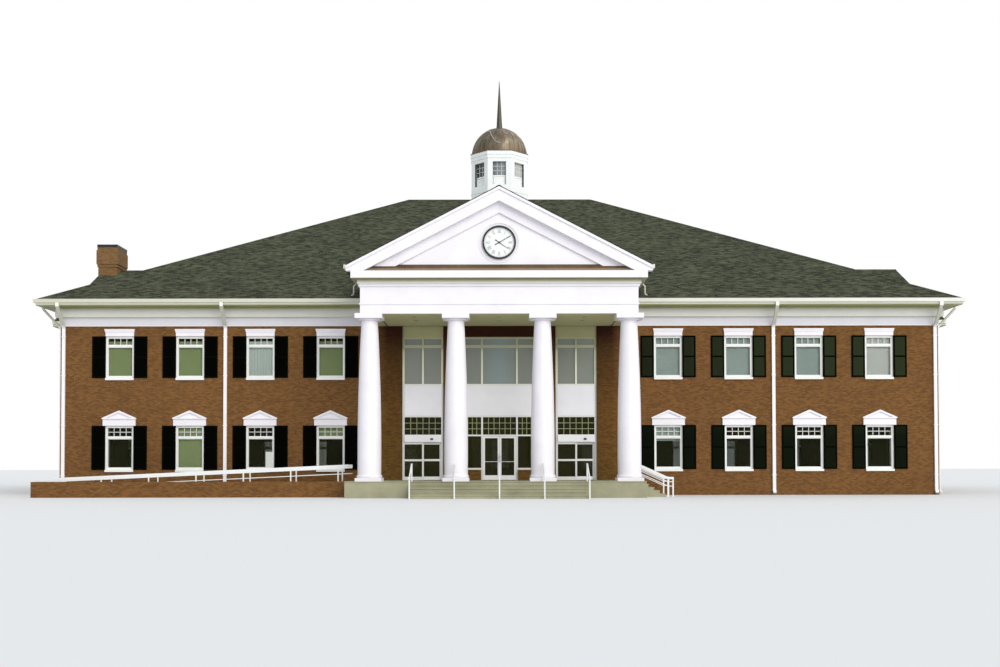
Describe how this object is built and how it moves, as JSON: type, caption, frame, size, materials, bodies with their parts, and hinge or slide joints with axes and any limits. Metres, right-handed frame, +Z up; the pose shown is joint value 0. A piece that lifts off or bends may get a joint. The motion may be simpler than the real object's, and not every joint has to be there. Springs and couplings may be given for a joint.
{
  "type": "town hall building, 1:2 scale model",
  "caption": "Two-storey brick town hall with hipped roof, side wings, columned portico with a clock in its pediment, domed cupola, steps and a ramp; 1:2 scale model.",
  "frame": {"origin": "on the ground, under the centre of the main block", "axes": "+X to the right of someone facing the front, +Y to the rear, +Z up"},
  "size_m": [28.52, 22.47, 14.6869],
  "materials": {
    "brick": "matt",
    "concrete": "matt",
    "floor": "matt",
    "white_trim": "satin",
    "soffit": "matt",
    "roof_shingle": "matt",
    "shutter_green": "satin",
    "window_frame": "satin",
    "glass": "gloss",
    "door_frame": "satin",
    "panel": "satin",
    "handrail": "gloss",
    "copper": "weathered",
    "bronze": "weathered",
    "clock_metal": "satin",
    "clock_dial": "satin",
    "cap_metal": "matt",
    "flashing": "matt"
  },
  "bodies": {
    "building": {"ground_floor": "floor", "upper_floor": "floor", "front_wall_left": "brick", "front_wall_right": "brick", "rear_wall": "brick", "left_side_walls": "brick", "right_side_walls": "brick", "wing_side_walls": "brick", "left_wing_end_wall": "brick", "right_wing_end_wall": "brick", "entrance_piers": "brick", "entrance_lintel": "brick", "centre_bay_frame": "door_frame", "side_bay_frames": "door_frame", "entrance_panels": "panel", "entrance_glass": "glass", "window_frames": "window_frame", "window_glass": "glass", "window_pediments": "white_trim", "window_crowns": "white_trim", "shutters": "shutter_green", "eaves_cornice": "white_trim", "gutters": "white_trim", "downspouts": "white_trim", "main_roof": "roof_shingle", "wing_roofs": "roof_shingle", "wing_rakes": "white_trim", "portico_roof": "roof_shingle", "portico_podium": "concrete", "entrance_steps": "concrete", "access_ramp": "concrete", "ramp_wall": "brick", "handrails": "handrail", "columns": "white_trim", "portico_entablature": "white_trim", "portico_ceiling": "soffit", "pediment_cornice": "white_trim", "cornice_apron": "flashing", "tympanum": "white_trim", "clock_case": "clock_metal", "clock_dial": "clock_dial", "cupola_drum": "white_trim", "dome": "copper", "spire": "bronze", "chimney_stack": "brick", "chimney_cap": "cap_metal"},
    "entrance_door_left": {"entrance_door_left": "door_frame", "entrance_door_left_glass": "glass"},
    "entrance_door_right": {"entrance_door_right": "door_frame", "entrance_door_right_glass": "glass"},
    "sliding_door_left": {"sliding_door_left": "door_frame", "sliding_door_left_glass": "glass"},
    "sliding_door_right": {"sliding_door_right": "door_frame", "sliding_door_right_glass": "glass"},
    "minute_hand": {"minute_hand": "clock_metal"},
    "hour_hand": {"hour_hand": "clock_metal"}
  },
  "joints": [
    {"name": "entrance_door_left_hinge", "type": "hinge", "parent": "building", "child": "entrance_door_left", "pos_m": [-0.4625, -9.01, 1.04], "axis": [0, 0, 1], "range_deg": [-90, 0]},
    {"name": "entrance_door_right_hinge", "type": "hinge", "parent": "building", "child": "entrance_door_right", "pos_m": [0.4625, -9.01, 1.04], "axis": [0, 0, 1], "range_deg": [0, 90]},
    {"name": "sliding_door_left_slide", "type": "slide", "parent": "building", "child": "sliding_door_left", "axis": [-1, 0, 0], "range_m": [0, 0.478]},
    {"name": "sliding_door_right_slide", "type": "slide", "parent": "building", "child": "sliding_door_right", "axis": [-1, 0, 0], "range_m": [0, 0.478]},
    {"name": "minute_hand_turn", "type": "hinge", "parent": "building", "child": "minute_hand", "pos_m": [0, -11.725, 6.585], "axis": [0, 1, 0], "continuous": true},
    {"name": "hour_hand_turn", "type": "hinge", "parent": "building", "child": "hour_hand", "pos_m": [0, -11.725, 6.585], "axis": [0, 1, 0], "continuous": true}
  ],
  "couplings": [
    {"joint": "hour_hand_turn", "follows": "minute_hand_turn", "ratio": 0.083333}
  ]
}
